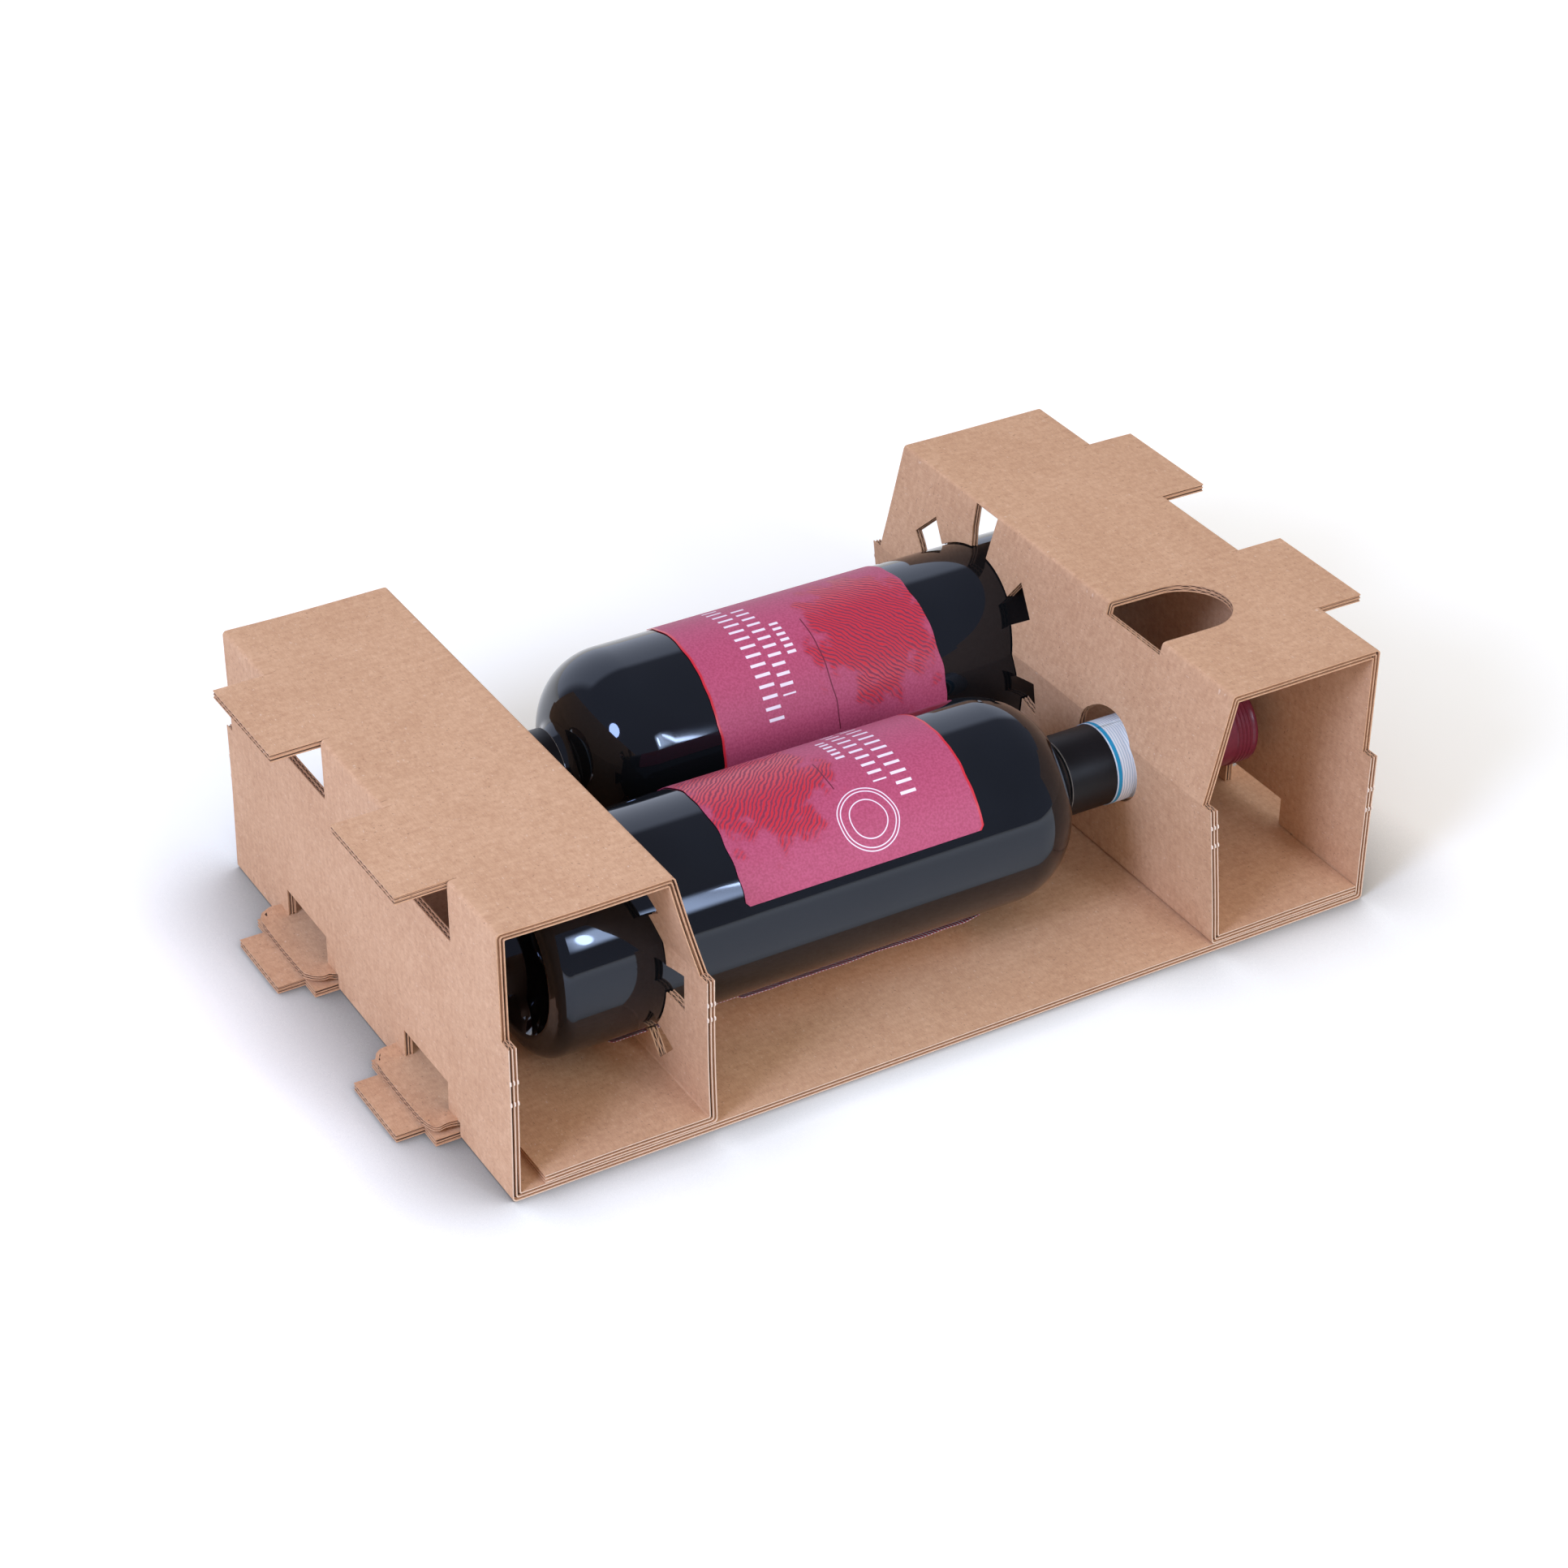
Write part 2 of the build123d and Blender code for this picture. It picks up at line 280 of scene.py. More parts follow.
def tab_slit(root, way, y, steps):
    """Slit round a tab. A step is its half width, where the tab ends and where its window ends."""
    outer, inner, last_outer, last_inner = [], [], -0.1, -0.1
    for half, tab_end, window_end in steps:
        outer += [(last_outer, half + 0.3), (window_end, half + 0.3)]
        inner += [(last_inner, half), (tab_end, half)]
        last_outer, last_inner = window_end, tab_end
    outline = outer + [(u, -h) for u, h in reversed(outer)]
    outline += [(u, -h) for u, h in inner] + inner[::-1]
    return [(root + way * u, y + h) for u, h in outline]


def edge_strip(way, inset):
    """What lies outside one long edge and its tongue ends, with the torn nubs left standing."""
    edge, narrow = half_depth - inset, half_depth - jog - inset
    out, end = pitch_y + tongue_half - inset, tongue_end - inset
    near_end = [(-past_end, out - rounding), (-end, out - rounding)]
    for angle in (22.5, 45, 67.5, 90):
        a = radians(angle)
        near_end.append((-end + rounding * (1 - cos(a)), out - rounding * (1 - sin(a))))
    near_end += [(inset, out), (inset, edge)]
    far_end = [(sheet_length - u, y) for u, y in reversed(near_end)]
    stops = [
        (sum(runs[LEFT_CREASE][:2]) / 2, "narrower"),
        (outer_wall_length(-1, crease_height), "wider"),
        (outer_wall_length(1, crease_height), "narrower"),
        (sum(runs[RIGHT_CREASE][:2]) / 2, "wider"),
    ]
    stops += [(wall_length(LEFT_WALL, height), "nub") for height in (53, 47)]
    stops += [(outer_wall_length(side, z), "nub") for side in (-1, 1) for z in (48.5, 40)]
    stops += [(wall_length(RIGHT_WALL, height), "nub") for height in (55, 47)]
    outline = near_end
    for u, change in sorted(stops):
        if change == "narrower":
            outline += [(u, edge), (u, narrow)]
        elif change == "wider":
            outline += [(u, narrow), (u, edge)]
        elif not inset:
            outline += [(u + past, edge + rise) for past, rise in torn_nub]
    outline = outline + far_end + [(sheet_length + past_end, past_edge), (-past_end, past_edge)]
    return [(u, way * y) for u, y in outline]


def tongue_gap(root, way, inset):
    """What falls out between the two tongues of a flap."""
    half, end = pitch_y - tongue_half + inset, tongue_end - inset
    outline = [(-inset, half)]
    for angle in (0, 22.5, 45, 67.5, 90):
        a = radians(angle)
        outline.append((end - rounding * (1 - sin(a)), half + rounding * (1 - cos(a))))
    outline.append((past_end, half + rounding))
    outline += [(u, -y) for u, y in reversed(outline)]
    return [(root + way * u, y) for u, y in outline]


# Tabs: root on the sheet, which way they run, and their steps. A low tab is longer than its
# window is high, so it also says how far its steps reach once it is folded out.
high_steps = [(24.0, 22.0, 23.64)]
low_steps = [(25.0, 6.0, 6.34), (16.5, 17.0, 17.64)]
low_reaches = [12.5, 23.0]
high_roots = [(runs[LEFT_TOP][1], 1), (runs[RIGHT_TOP][0], -1)]
low_roots = [(runs[BASE][0], -1), (runs[BASE][1], 1)]


# %% The dies themselves
def die(outline, half_height=4.0):
    """A prism with this outline, taller than the board is thick."""
    pick(None)
    bpy.ops.mesh.primitive_circle_add(vertices=len(outline), fill_type="NGON")
    block = bpy.context.object
    for vertex, (u, y) in zip(block.data.vertices, outline):
        vertex.co = (u * mm, y * mm, -half_height * mm)
    rise = (0, 0, 2 * half_height * mm)
    bpy.ops.object.mode_set(mode="EDIT")
    bpy.ops.mesh.select_all(action="SELECT")
    bpy.ops.mesh.extrude_region_move(TRANSFORM_OT_translate={"value": rise})
    bpy.ops.mesh.select_all(action="SELECT")
    bpy.ops.mesh.normals_make_consistent(inside=False)
    bpy.ops.object.mode_set(mode="OBJECT")
    return block


def die_set(name, inset, growth):
    """All the dies as one tool. The fluted papers get wider cuts, so they lie a little back."""
    strips = [die(edge_strip(way, inset)) for way in (1, -1)]
    strips += [die(tongue_gap(0, -1, inset)), die(tongue_gap(sheet_length, 1, inset))]
    holes = [die(toothed_hole(LEFT_WALL, -pitch_y)), die(toothed_hole(RIGHT_WALL, pitch_y))]
    holes += [die(round_hole(LEFT_WALL, pitch_y)), die(round_hole(RIGHT_WALL, -pitch_y))]
    holes.append(die(thumb_arch(-pitch_y)))
    for y in (-pitch_y, pitch_y):
        holes += [die(tab_slit(root, way, y, high_steps)) for root, way in high_roots]
        holes += [die(tab_slit(root, way, y, low_steps)) for root, way in low_roots]
    tool = joined(holes)
    if growth:
        bpy.ops.object.mode_set(mode="EDIT")
        bpy.ops.mesh.select_all(action="SELECT")
        bpy.ops.transform.shrink_fatten(value=growth * mm, use_even_offset=True)
        bpy.ops.object.mode_set(mode="OBJECT")
    tool = joined([tool] + strips)
    tool.name = name
    return tool


liner_dies = die_set("liner_dies", 0.0, 0.0)
medium_dies = die_set("medium_dies", 0.9, 0.25)
print(f"die set: {len(liner_dies.data.polygons)} faces")

# %% [markdown]
# ## Five papers, cut and folded
# Double-wall board is three flat liners with two fluted papers between them. Each is a thin
# slab made from one grid, whose columns lie close together at the folds and wider apart on the
# panels, so that it bends where the real sheet is creased. The grid gets its thickness, the dies
# cut it, and then every point moves to its place on the folded line. The flat position is kept
# as an attribute, so that the fibres and flutes in the materials follow the sheet.

# %% The flat grid
sharp_stops = (0, straight_share, 0.27, 0.42, 0.58, 0.73, 1 - straight_share)
slight_stops = (0, straight_share, 0.5, 1 - straight_share)
columns = even_stops(-tongue_end, 0.0, 2.6)[:-1]
for start, end, _, _, turn in runs:
    if turn:
        shares = sharp_stops if turn > 0.6 else slight_stops
        columns += [start + (end - start) * share for share in shares]
    else:
        columns += even_stops(start, end, 8.5)[:-1]
columns += even_stops(sheet_length, sheet_length + tongue_end, 2.6)
rows = even_stops(-half_depth - 1, half_depth + 1, 6.1)
flat_grid = grid_sheet("flat_grid", columns, rows)
print(f"flat grid: {len(columns)} columns, {len(rows)} rows")


# %% Where a point of the flat sheet goes when it is folded
def on_tab(flat, y):
    """Root, direction and reach if this point is on a tab, or None."""
    side, slack = abs(abs(y) - pitch_y), 0.05
    half, end, _ = high_steps[0]
    for root, way in high_roots:
        along = (flat - root) * way
        if 0 < along < end + slack and side < half + slack:
            return root, way, along
    (wide, knee, _), (half, end, _) = low_steps
    for root, way in low_roots:
        along = (flat - root) * way
        if 0 < along < knee + slack and side < wide + slack:
            return root, way, along * low_reaches[0] / knee
        if knee <= along < end + slack and side < half + slack:
            stretch = (low_reaches[1] - low_reaches[0]) / (end - knee)
            return root, way, low_reaches[0] + (along - knee) * stretch
    return None


def bend_of_teeth(flat, y):
    """The teeth give a little where the bottle was pushed through, each by its own amount."""
    bends = (0.9, -0.6, 1.2, 0.5, -0.9, 1.1, 0.3, -0.7, 1.0, -1.1, 0.6, 1.2)
    tooth_root = 50.0
    up = on_line(flat).y - axis_z
    for side, wall, first in ((-1, LEFT_WALL, 9), (1, RIGHT_WALL, 4)):
        if not wall[0] <= run_at(flat) <= wall[1]:
            continue
        across = y - side * pitch_y
        out = sqrt(across**2 + up**2)
        if hole_radius - 1.5 < out < tooth_root:
            tooth = int(degrees(atan2(up, across)) // 45) + first
            share = (tooth_root - out) / (tooth_root - hole_radius)
            return bends[tooth % len(bends)] * share**2
    return 0.0


def softness(flat, y):
    """How far a panel lies off its plane: board is never quite flat between its folds."""
    index = run_at(flat)
    start, end, _, _, turn = runs[index]
    if turn or flat < 0 or flat > sheet_length:
        return 0.0
    share = sin(pi * (flat - start) / (end - start))
    wave = 0.5 + 0.5 * sin(y / 31.0 + index * 1.7) * cos(flat / 38.0 + index)
    # The floor holds the base flat, and the flaps are a little flatter than the walls
    most = {LEFT_FLAP: 0.5, RIGHT_FLAP: 0.4, BASE: 0.12}.get(index, 0.6)
    return most * share * wave


def folded(flat, y, depth):
    """Place of a point of the sheet in the box, and its true place on the flat sheet."""
    tab = on_tab(flat, y)
    if tab:
        root, way, reach = tab
        heading = runs[run_at(root - way * 0.5)][3]
        left = Vector((-heading.y, heading.x))
        curl = 0.25 * (reach / high_steps[0][1]) ** 2 if (root, way) in high_roots else 0.0
        place = on_line(root - way * 1e-4) + heading * way * reach + left * (depth + curl)
        return (place.x, y, place.y), (root + way * reach, y, depth)
    lift = softness(flat, y) + bend_of_teeth(flat, y)
    past_wall = max(-flat, flat - sheet_length) - board
    if past_wall > 0:
        # The tongues were pushed through their windows, which crumpled their corners upwards
        corner = max(0.0, abs(abs(y) - pitch_y) - 9) / 15
        ruffle = 0.7 + 0.9 * noise.noise((flat * 0.25, y * 0.22, 1)) - 0.12 * depth
        share = past_wall / (tongue_end - board)
        lift += (0.25 + 3.4 * corner**2) * share * max(0.0, ruffle)
        lift += 0.25 * noise.noise((flat * 0.5, y * 0.3, 5)) * min(1.0, past_wall / 4)
    place = on_line(min(max(flat, 1e-6), sheet_length), depth + lift)
    if flat < 0:
        place += runs[0][3] * flat
    elif flat > sheet_length:
        place += runs[-1][3] * (flat - sheet_length)
    return (place.x, y, place.y), (flat, y, depth)


# %% Cut, layer by layer, and fold
layers = []
flute = (board - 3 * liner) / 2
bottom = -board / 2
for number in range(5):
    kind, thick, tool = "liner", liner, liner_dies
    if number % 2:
        kind, thick, tool = "fluted", flute, medium_dies
    layer = copy_of(flat_grid, f"{kind}_paper_{number}")
    finish_with(layer, "SOLIDIFY", thickness=thick * mm, offset=1.0)
    for vertex in layer.data.vertices:
        vertex.co.z += bottom * mm
    bottom += thick
    finish_with(layer, "BOOLEAN", object=tool, operation="DIFFERENCE", solver="EXACT")
    layers.append(layer)
    print(f"{layer.name}: {len(layer.data.polygons)} faces after cutting")

for layer in layers:
    flat_place = layer.data.attributes.new("flat", "FLOAT_VECTOR", "POINT")
    for vertex in layer.data.vertices:
        flat_at = vertex.co / mm
        place, sheet_place = folded(*flat_at)
        vertex.co = Vector(place) * mm
        flat_place.data[vertex.index].vector = sheet_place

# %% [markdown]
# ## Kraft liner and fluted paper
# Kraft liner is unbleached pulp, pressed and dried: matt, with short fibres that lie mostly one
# way, pale and dark specks, and the faint ridges of the flutes under it, a slight bump with a
# little painted shade in the colour.
# The fluted papers show only where the board was cut. Drawing their waves in the material, from
# the flat position, costs no faces, and gives parallel lines on the edges along the flutes and
# rows of waves on the edges across them, as on the real board; the dark of the hollows between
# the waves is painted shade.


# %% Helpers for materials
def hex_colour(text):
    """Linear colour of an sRGB hex value."""
    parts = [int(text[i : i + 2], 16) / 255 for i in (0, 2, 4)]
    return [p / 12.92 if p <= 0.04045 else ((p + 0.055) / 1.055) ** 2.4 for p in parts] + [1.0]


def feed(node, inputs):
    """Set or link these inputs. A node given for one feeds it from its first output in use."""
    for socket, value in inputs.items():
        if isinstance(value, bpy.types.Node):
            value = next(out for out in value.outputs if out.enabled)
        if isinstance(value, bpy.types.NodeSocket):
            node.id_data.links.new(value, node.inputs[socket])
        else:
            node.inputs[socket].default_value = value


def add(tree, kind, inputs=None, stops=(), **settings):
    """Add a node of this kind with its settings, its inputs and the stops of its ramp."""
    new = tree.nodes.new("ShaderNode" + kind)
    for name, value in settings.items():
        setattr(new, name, value)
    for number, (place, ink) in enumerate(stops):
        elements = new.color_ramp.elements
        stop = elements[number] if number < 2 else elements.new(place)
        stop.position, stop.color = place, hex_colour(ink)
    feed(new, inputs or {})
    return new


def new_material(name):
    """A material with its node tree and its shader."""
    material = bpy.data.materials.new(name)
    material.use_nodes = True
    tree = material.node_tree
    return material, tree, tree.nodes["Principled BSDF"]


def paint(piece, material):
    """Give a piece this material only."""
    piece.data.materials.clear()
    piece.data.materials.append(material)


# %% Kraft liner
kraft, tree, shader = new_material("kraft_liner_pressed_and_dried")
flat = add(tree, "Attribute", attribute_name="flat").outputs["Vector"]
# Clouds of pulp 20 to 60 mm across, mottling of 2 mm, fibres 0.25 mm wide and 2 mm long
clouds = add(tree, "TexNoise", {"Vector": flat, "Scale": 0.03, "Detail": 3.0})
mottle = add(tree, "TexNoise", {"Vector": flat, "Scale": 0.38, "Detail": 5.0, "Roughness": 0.75})
fibres = add(tree, "Mapping", {"Vector": flat, "Scale": (3.2, 0.5, 1.0)})
fibres = add(tree, "TexNoise", {"Vector": fibres, "Scale": 1.0, "Detail": 4.0})
# One flute every 3.2 mm across the sheet: a wave's scale is 0.314 over its length
flute_pitch = 3.2
flutes = {"Vector": flat, "Scale": 0.0982, "Distortion": 0.6}
flutes = add(tree, "TexWave", flutes, bands_direction="Y").outputs["Fac"]
# The flutes' small share of the tone is painted shade of their faint ridges. The relief below
# gives them as a bump as well
tone = add(tree, "Math", {0: clouds, 1: 0.22}, operation="MULTIPLY")
for part, share in ((mottle, 0.62), (fibres, 0.36), (flutes, 0.03)):
    tone = add(tree, "Math", {0: part, 1: share, 2: tone}, operation="MULTIPLY_ADD")
pulp = ((0.40, "B98763"), (0.60, "CA9A74"), (0.80, "D9AA84"))
colour = add(tree, "ValToRGB", {"Fac": tone}, pulp)
# Dark specks of bark and pale ones of clean pulp, 0.4 to 1 mm
dark = add(tree, "TexNoise", {"Vector": flat, "Scale": 1.1, "Detail": 1.0})
dark = {"Value": dark, "From Min": 0.7, "From Max": 0.76, "To Max": 0.55}
pale = add(tree, "Mapping", {"Vector": flat, "Location": (40, 0, 0), "Scale": (2.0, 0.7, 1.0)})
pale = add(tree, "TexNoise", {"Vector": pale, "Scale": 0.8, "Detail": 1.0})
pale = {"Value": pale, "From Min": 0.7, "From Max": 0.78, "To Max": 0.5}
# Where the die left a nub, the papers tore and show their pale, unpressed fibres
torn = add(tree, "SeparateXYZ", {0: flat}).outputs[1]
torn = add(tree, "Math", {0: torn}, operation="ABSOLUTE")
torn = {"Value": torn, "From Min": half_depth - 0.1, "From Max": half_depth + 0.1}
for spots, ink in ((dark, "8A5F43"), (pale, "E6CBB2"), (torn, "EDD6BF")):
    inks = {"Factor": add(tree, "MapRange", spots), 6: colour, 7: hex_colour(ink)}
    colour = add(tree, "Mix", inks, data_type="RGBA")
relief = add(tree, "Math", {0: mottle, 1: fibres}, operation="ADD")
relief = add(tree, "Math", {0: flutes, 1: 0.3, 2: relief}, operation="MULTIPLY_ADD")
bump = add(tree, "Bump", {"Height": relief, "Strength": 0.5, "Distance": 0.00012})
feed(shader, {"Base Color": colour, "Roughness": 0.88, "IOR": 1.45, "Normal": bump})

# %% Fluted paper at the cut edges, with painted shade in the hollows between its waves
medium, tree, shader = new_material("fluted_paper_at_the_cuts")
flat = add(tree, "Attribute", attribute_name="flat").outputs["Vector"]
_, across, depth = add(tree, "SeparateXYZ", {0: flat}).outputs
wave = add(tree, "Math", {0: across, 1: 2 * pi / flute_pitch}, operation="MULTIPLY")
wave = add(tree, "Math", {0: wave}, operation="SINE")
# How far a point is from the wave, whose middle line is in the middle of the fluted paper
rise = add(tree, "Math", {0: depth}, operation="ABSOLUTE")
rise = add(tree, "Math", {0: rise, 1: (liner + flute) / 2}, operation="SUBTRACT")
rise = add(tree, "Math", {0: wave, 1: -0.3, 2: rise}, operation="MULTIPLY_ADD")
rise = add(tree, "Math", {0: rise}, operation="ABSOLUTE")
# Away from the wave, the hollow of the flute is painted dark: painted shade where light doesn't
# reach between the liners
painted_flute_shade = {"Value": rise, "From Min": 0.12, "From Max": 0.26}
painted_flute_shade = add(tree, "MapRange", painted_flute_shade, interpolation_type="SMOOTHSTEP")
inks = {"Factor": painted_flute_shade, 6: hex_colour("B98D6C"), 7: hex_colour("4B3222")}
feed(shader, {"Base Color": add(tree, "Mix", inks, data_type="RGBA"), "Roughness": 0.95})

# %% One piece of board
for number, layer in enumerate(layers):
    paint(layer, medium if number % 2 else kraft)
insert = joined(layers)
insert.name = insert.data.name = "die_cut_insert"
pick(insert)
bpy.ops.object.shade_smooth_by_angle(angle=radians(35))
for tool in (flat_grid, liner_dies, medium_dies):
    bpy.data.objects.remove(tool)
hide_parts("folded_insert")
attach(insert, "root")
print(f"folded insert: {len(insert.data.polygons)} faces")

# %% [markdown]
# ## Bottles
# A wine bottle is blown in a mould and is round, so it is a spin: a chain of points, half the
# bottle's section, is turned about its axis. The CAD bottle is turned from short cones to stay
# light; here the heel, the shoulder and the hollow curve under the neck are true arcs. Both
# bottles are the same, so one is modelled along its own axis and copied to both places.


# %% The turned shape
def turned(name, profile, steps):
    """Points (distance along the axis, radius) in millimetres, spun about the X axis."""
    pick(None)
    bpy.ops.mesh.primitive_grid_add(x_subdivisions=len(profile) - 1, y_subdivisions=1, size=2)
    piece = bpy.context.object
    piece.name = piece.data.name = name
    bpy.ops.object.mode_set(mode="EDIT")
    bpy.ops.mesh.select_all(action="DESELECT")
    bpy.ops.object.mode_set(mode="OBJECT")
    for vertex in piece.data.vertices:
        vertex.select = vertex.co.y > 0
    bpy.ops.object.mode_set(mode="EDIT")
    bpy.ops.mesh.delete(type="VERT")
    bpy.ops.object.mode_set(mode="OBJECT")
    ordered = sorted(piece.data.vertices, key=lambda v: v.co.x)
    for vertex, (along, radius) in zip(ordered, profile):
        vertex.co = (along * mm, 0, radius * mm)
    bpy.ops.object.mode_set(mode="EDIT")
    bpy.ops.mesh.select_all(action="SELECT")
    bpy.ops.mesh.spin(steps=steps, angle=2 * pi, center=(0, 0, 0), axis=(1, 0, 0))
    bpy.ops.object.mode_set(mode="OBJECT")
    close_and_smooth(piece, 0.01)
    return piece


def close_and_smooth(piece, reach):
    """Merge points within this reach in millimetres, turn faces outwards, smooth what is round."""
    pick(piece)
    bpy.ops.object.mode_set(mode="EDIT")
    bpy.ops.mesh.select_all(action="SELECT")
    bpy.ops.mesh.remove_doubles(threshold=reach * mm)
    bpy.ops.mesh.normals_make_consistent(inside=False)
    bpy.ops.object.mode_set(mode="OBJECT")
    bpy.ops.object.shade_smooth_by_angle(angle=radians(30))


def arc(centre, radius, start, end, count):
    """Points on an arc of the profile, angles in degrees."""
    angles = [radians(a) for a in even_stops(start, end, abs(end - start) / count * 1.001)]
    return [(centre[0] + radius * cos(a), centre[1] + radius * sin(a)) for a in angles]


# The bottles' bases: each stands in its own tube, and its neck reaches into the other
near_base, far_base = (-142.5, -pitch_y, axis_z), (142.5, pitch_y, axis_z)


def lay_both(near, far_name, part):
    """Copy a piece modelled along +X, and lay one on each bottle's axis, as finished mesh."""
    for piece, base, along, node in (
        (near, near_base, 1, f"near_{part}"),
        (copy_of(near, far_name), far_base, -1, f"far_{part}"),
    ):
        for vertex in piece.data.vertices:
            co = vertex.co
            vertex.co = Vector((along * co.x, along * co.y, co.z)) + Vector(base) * mm
        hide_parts(node)
        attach(piece, "root")


# %% Bottle profile
body_radius, shoulder_radius, neck_radius, neck_fillet = 38.0, 26.0, 14.4, 4.5
shoulder_start, neck_start, mouth = 189.5, 219.21, 301.2
shoulder_centre = body_radius - shoulder_radius
neck_rise = neck_radius + neck_fillet - shoulder_centre
meet = degrees(atan2(neck_rise, neck_start - shoulder_start))
# The hollow under the base, the ring that the bottle stands on, and the heel
profile = arc((35.0, 0), 21.0, 180, 110, 10)
profile += [(8.0, 24.0), (3.0, 26.6)] + arc((3.0, 30.0), 3.0, 230, 180, 3)[1:]
profile += [(0.4, 31.6)] + arc((6.4, 32.0), 6.0, 175, 90, 7)
# The straight body, the shoulder, the curve under the neck, and the neck
profile += [(x, body_radius) for x in even_stops(20.0, 185.0, 24.0)]
profile += arc((shoulder_start, shoulder_centre), shoulder_radius, 90, meet, 22)
profile += arc((neck_start, neck_radius + neck_fillet), neck_fillet, 180 + meet, 270, 7)[1:]
profile += [(230.0, neck_radius), (mouth, neck_radius), (mouth, 0.0)]
spokes = 96
bottle = turned("near_glass_bottle", profile, spokes)
# The ring that the bottle stands on is pressed with fine ribs, every other point a little low
for vertex in bottle.data.vertices:
    out = sqrt(vertex.co.y**2 + vertex.co.z**2) / mm
    spoke = round(atan2(vertex.co.z, vertex.co.y) / (2 * pi / spokes))
    if 29.9 < out < 34.5 and vertex.co.x < 1.2 * mm and spoke % 2:
        vertex.co.x += 0.35 * mm
print(f"bottle: {len(profile)} points in the profile")

# %% [markdown]
# ## Dark glass
# Soda-lime glass, coloured so deep that with wine behind it no light comes through. What shows
# is the reflection on its polished skin, so the colour is almost black, the surface is smooth
# with a slow waver from the mould, and the index of refraction is that of glass.

# %% Bottle glass
glass, tree, shader = new_material("dark_moulded_glass")
place = add(tree, "TexCoord").outputs["Object"]
# A waver about 20 mm long
waver = add(tree, "TexNoise", {"Vector": place, "Scale": 45.0, "Detail": 1.0})
tint = add(tree, "ValToRGB", {"Fac": waver}, ((0.0, "0B0C0D"), (1.0, "121416")))
bump = add(tree, "Bump", {"Height": waver, "Strength": 0.3, "Distance": 0.00015})
feed(shader, {"Base Color": tint, "Normal": bump})
feed(shader, {"Roughness": 0.045, "IOR": 1.52, "Specular Tint": hex_colour("E4ECFF")})
paint(bottle, glass)
lay_both(bottle, "far_glass_bottle", "bottle")

# %% [markdown]
# ## Capsules
# The capsule is a thin plastic sleeve shrunk over the mouth: black down the neck, dark red over
# the mouth ring, with ribs there. It is turned like the bottle, with its wall, and its skirt
# ends in a fine lip.

# %% Capsule
skirt, lip_end, red_start = 219.36, 219.6, 252.0
inside, outside = 14.55, 15.15
profile = [(skirt, inside), (skirt, 15.05), (lip_end, outside), (247.0, outside)]
profile += [(247.3, 15.3), (248.2, 15.3), (248.5, outside), (285.0, outside), (292.6, 15.2)]
for ridge in range(4):
    x = 293.0 + ridge * 1.7
    profile += [(x, 15.45), (x + 0.3, 15.8), (x + 1.0, 15.8), (x + 1.3, 15.45)]
profile += [(300.2, 15.75)] + arc((300.9, 14.75), 1.05, 80, 12, 3)
profile += [(301.95, 13.6), (301.95, 10.2), (301.7, 9.9), (301.7, 4.0), (301.95, 3.7)]
profile += [(302.0, 0.0), (301.4, 0.0), (301.4, inside), (skirt, inside)]
capsule = turned("near_shrunk_capsule", profile, 72)

# %% Films
# Shrink film with a grain of about 1 mm: matt black, then red with a low gloss, and its cut lip in
# a pale grey that is a painted highlight
for name, scale, darkest, palest, roughness in (
    ("matt_shrink_film", 900.0, "090506", "120C0D", 0.45),
    ("dark_red_shrink_film", 700.0, "661A2B", "7F2539", 0.35),
    ("painted_highlight_on_the_film_lip", 1200.0, "564F4A", "857C75", 0.5),
):
    film, tree, shader = new_material(name)
    place = add(tree, "TexCoord").outputs["Object"]
    grain = add(tree, "TexNoise", {"Vector": place, "Scale": scale, "Detail": 2.0})
    tone = add(tree, "ValToRGB", {"Fac": grain}, ((0.0, darkest), (1.0, palest)))
    feed(shader, {"Base Color": tone, "Roughness": roughness})
    if name == "matt_shrink_film":
        bump = add(tree, "Bump", {"Height": grain, "Strength": 0.3, "Distance": 0.00005})
        feed(shader, {"Specular IOR Level": 0.3, "Normal": bump})
    capsule.data.materials.append(film)
for face in capsule.data.polygons:
    if face.center.x > red_start * mm:
        face.material_index = 1
    # The faces of the lip get the pale grey film, a painted highlight along the lip
    elif face.center.x < lip_end * mm:
        face.material_index = 2
lay_both(capsule, "far_shrunk_capsule", "capsule")

# %% [markdown]
# ## Labels and neck bands
# A label is a flat sheet of coated paper, cut with round corners and glued round the glass. So
# it is modelled flat, its edges are given the small waves that handling leaves, it gets its
# thickness, and then it is rolled up to the bottle's radius. Its flat position stays on it as
# an attribute, in millimetres from its corner, and the printed fields are drawn from that.


